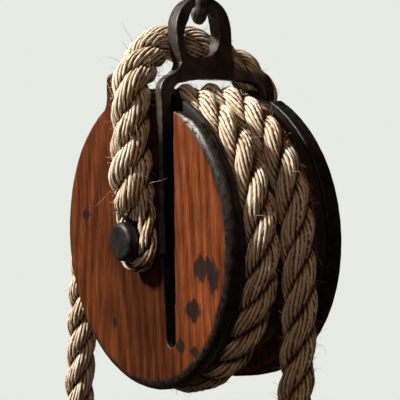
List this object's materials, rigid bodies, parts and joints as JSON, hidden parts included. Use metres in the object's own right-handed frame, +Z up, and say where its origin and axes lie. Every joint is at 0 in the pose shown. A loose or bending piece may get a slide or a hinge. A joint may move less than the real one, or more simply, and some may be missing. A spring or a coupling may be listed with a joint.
{
  "type": "rope block",
  "caption": "Round wooden-cheeked single-sheave rope block hung by a forged iron strap and chain link, with a rope strop and a heavy laid rope round the sheave.",
  "frame": {"origin": "inner face of the hanger link's upper bow, where a hook carries it", "axes": "+Z up along the hanging line; the sheave's axle lies along Y; -Y is the front cheek with the pin's head; +X is the side of the strap's slots and the near fall"},
  "size_m": [0.2768, 0.1415, 0.467],
  "materials": {
    "forged_iron": "worn black forge scale, soft sheen on the edges",
    "varnished_wood": "red-brown, varnished, dark weathered rims",
    "dark_wood": "dark end-grain liner",
    "lignum_vitae": "waxy turned hardwood",
    "bronze": "dull turned bronze",
    "manila_rope": "dry three-strand natural fibre with stray yarns",
    "tarred_twine": "tight marline turns"
  },
  "bodies": {
    "hanger": {"hanger_link": "forged_iron"},
    "block": {"strap_bracket": "forged_iron", "axle_pin": "forged_iron", "axle_washer": "forged_iron", "forelock_key": "forged_iron", "front_cheek": "varnished_wood", "back_cheek": "varnished_wood", "front_liner": "dark_wood", "back_liner": "dark_wood", "strop_rope": "manila_rope", "rope_wrap": "manila_rope", "near_fall": "manila_rope", "near_eye": "manila_rope", "near_seizing": "tarred_twine", "near_thimble": "forged_iron", "far_fall": "manila_rope", "far_eye": "manila_rope", "far_seizing": "tarred_twine", "far_thimble": "forged_iron"},
    "sheave": {"sheave": "lignum_vitae", "sheave_bush": "bronze", "coak_plate_front": "bronze", "coak_plate_back": "bronze", "coak_rivet_1": "bronze", "coak_rivet_2": "bronze", "coak_rivet_3": "bronze"}
  },
  "joints": [
    {"name": "link_swing", "type": "hinge", "parent": "hanger", "child": "block", "pos_m": [0, 0, -0.0551], "axis": [1, 0, 0], "range_deg": [-60, 60]},
    {"name": "sheave_spin", "type": "hinge", "parent": "block", "child": "sheave", "pos_m": [-0.007, 0.0027, -0.2012], "axis": [0, 1, 0], "continuous": true}
  ]
}
